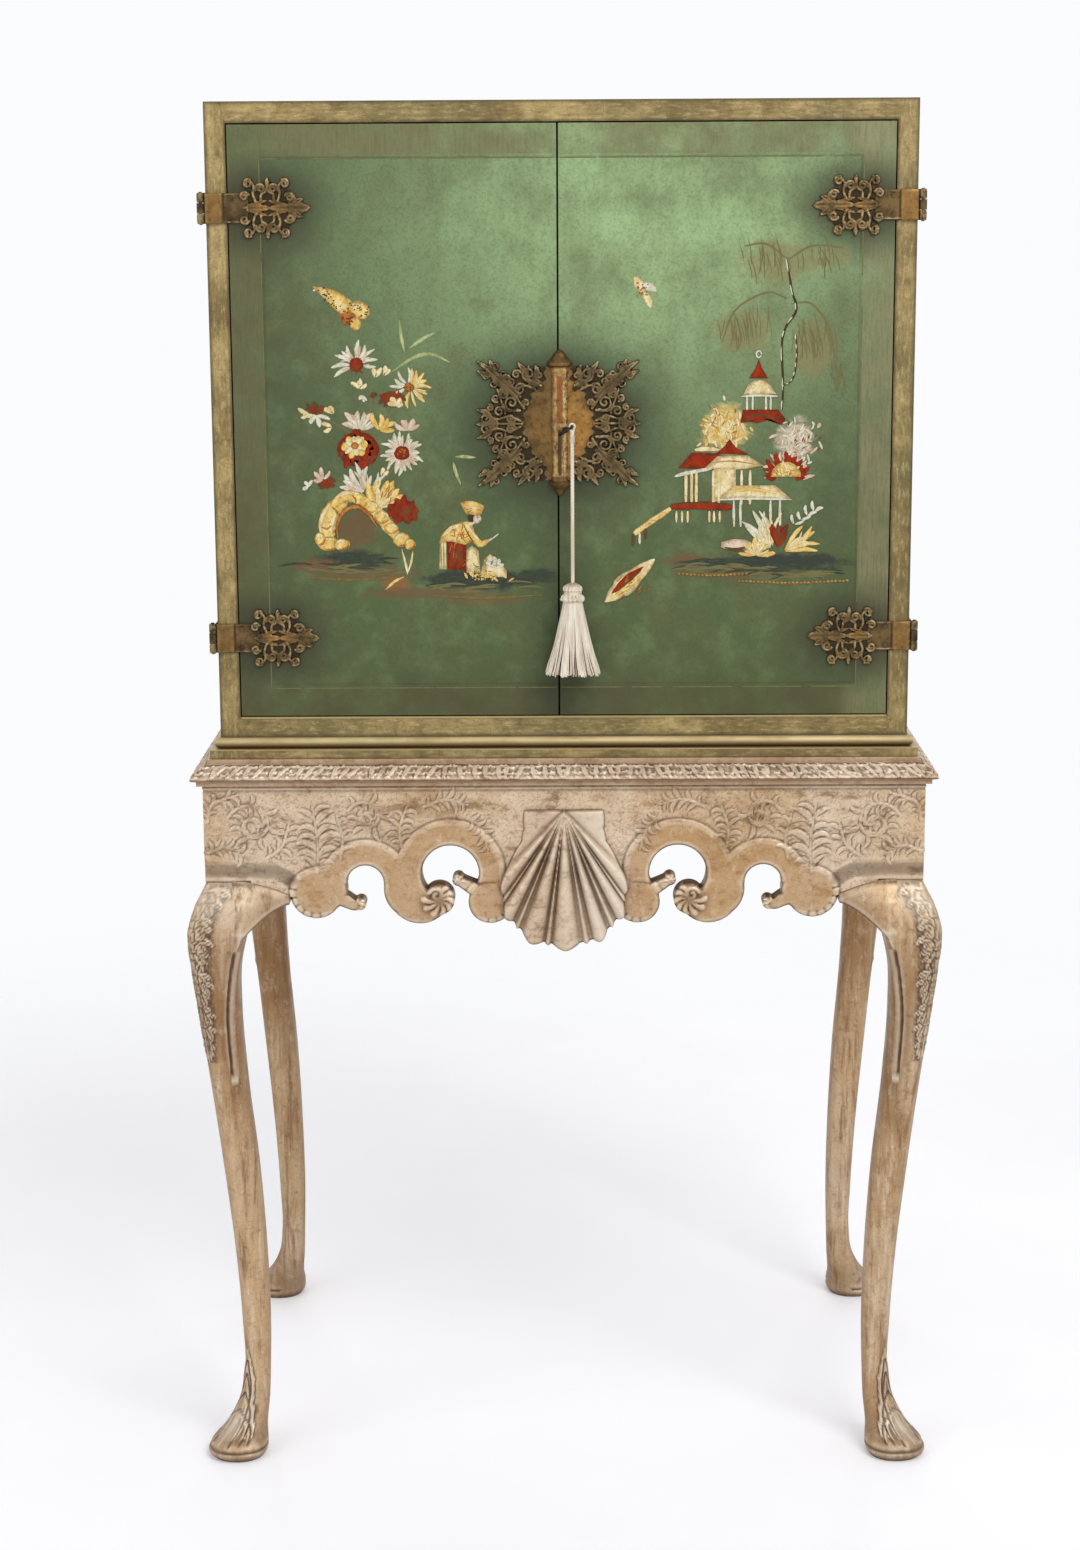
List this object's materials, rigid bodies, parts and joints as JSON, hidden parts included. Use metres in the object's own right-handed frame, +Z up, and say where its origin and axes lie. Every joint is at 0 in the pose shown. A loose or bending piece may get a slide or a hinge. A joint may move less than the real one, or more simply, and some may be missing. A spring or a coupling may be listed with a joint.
{
  "type": "cocktail cabinet on stand",
  "caption": "Lacquered cocktail cabinet with hinged doors, brass strap hinges, lock, key and tassel, on a carved gilt stand with cabriole legs and a shell apron.",
  "frame": {"origin": "middle of the floor area under the stand", "axes": "+Z up, the doors face -Y, +X to the right as seen from the front"},
  "size_m": [0.823, 0.561, 1.5],
  "materials": {
    "green_lacquer": "aged satin lacquer with painted decoration",
    "gold_lacquer": "worn bronze-gold lacquer",
    "silver_gilt": "carved silver gilding with brown glaze",
    "secondary_wood": "plain planed softwood",
    "antique_brass": "dark antique brass",
    "dark_steel": "dark oiled steel",
    "mirror": "silvered glass",
    "glass": "clear polished glass",
    "tassel_silk": "cream silk yarn"
  },
  "bodies": {
    "cabinet": {"carcase_side_left": "green_lacquer", "carcase_side_right": "green_lacquer", "carcase_top": "gold_lacquer", "carcase_bottom": "gold_lacquer", "carcase_back": "secondary_wood", "mirror_back": "mirror", "glass_shelf": "glass", "shelf_pegs": "antique_brass", "door_stops": "secondary_wood", "base_moulding_front": "gold_lacquer", "base_moulding_left": "gold_lacquer", "base_moulding_right": "gold_lacquer", "base_batten_back": "secondary_wood", "cornice_front": "silver_gilt", "cornice_left": "silver_gilt", "cornice_right": "silver_gilt", "stand_top": "secondary_wood", "stand_screws": "dark_steel", "leg_front_left": "silver_gilt", "leg_front_right": "silver_gilt", "leg_back_left": "silver_gilt", "leg_back_right": "silver_gilt", "apron_front": "silver_gilt", "apron_left": "silver_gilt", "apron_right": "silver_gilt", "rail_back": "secondary_wood", "apron_shell": "silver_gilt", "knee_brackets_front": "silver_gilt", "knee_brackets_back": "silver_gilt", "knee_brackets_left": "silver_gilt", "knee_brackets_right": "silver_gilt", "hinge_leaves_left": "antique_brass", "hinge_leaves_right": "antique_brass", "hinge_pins_left": "antique_brass", "hinge_pins_right": "antique_brass", "leaf_screws": "antique_brass"},
    "left_door": {"door_left": "green_lacquer", "hinge_strap_upper_left": "antique_brass", "hinge_strap_lower_left": "antique_brass", "door_nails_left": "antique_brass", "lock_plate_left": "antique_brass", "lock_bar_left": "antique_brass", "bolt_guide_top": "antique_brass", "bolt_guide_bottom": "antique_brass"},
    "right_door": {"door_right": "green_lacquer", "hinge_strap_upper_right": "antique_brass", "hinge_strap_lower_right": "antique_brass", "door_nails_right": "antique_brass", "lock_plate_right": "antique_brass", "lock_bar_right": "antique_brass", "lock_case": "dark_steel", "lock_cover": "dark_steel"},
    "lock_bolt": {"lock_bolt": "dark_steel"},
    "key": {"key": "dark_steel"},
    "tassel": {"tassel_cord": "tassel_silk", "tassel_head": "tassel_silk", "tassel_skirt": "tassel_silk"},
    "top_bolt": {"bolt_rod_top": "antique_brass"},
    "bottom_bolt": {"bolt_rod_bottom": "antique_brass"}
  },
  "joints": [
    {"name": "left_door_hinge", "type": "hinge", "parent": "cabinet", "child": "left_door", "pos_m": [-0.3762, -0.24175, 1.165], "axis": [0, 0, -1], "range_deg": [0, 165], "deforming": ["tassel_skirt"]},
    {"name": "right_door_hinge", "type": "hinge", "parent": "cabinet", "child": "right_door", "pos_m": [0.3762, -0.24175, 1.165], "axis": [0, 0, 1], "range_deg": [0, 165]},
    {"name": "key_turn", "type": "hinge", "parent": "right_door", "child": "key", "pos_m": [0.0036, -0.261, 1.1605], "axis": [0, 1, 0], "range_deg": [0, 90]},
    {"name": "lock_bolt_slide", "type": "slide", "parent": "right_door", "child": "lock_bolt", "axis": [-1, 0, 0], "range_m": [0, 0.008]},
    {"name": "tassel_swing", "type": "hinge", "parent": "key", "child": "tassel", "pos_m": [0.01031, -0.261, 1.16486], "axis": [0, 1, 0], "range_deg": [-90, 0]},
    {"name": "top_bolt_slide", "type": "slide", "parent": "left_door", "child": "top_bolt", "axis": [0, 0, 1], "range_m": [0, 0.01]},
    {"name": "bottom_bolt_slide", "type": "slide", "parent": "left_door", "child": "bottom_bolt", "axis": [0, 0, -1], "range_m": [0, 0.01]}
  ],
  "couplings": [
    {"joint": "lock_bolt_slide", "follows": "key_turn", "m_per_rad": 0.005093},
    {"joint": "tassel_swing", "follows": "key_turn", "ratio": -1}
  ]
}
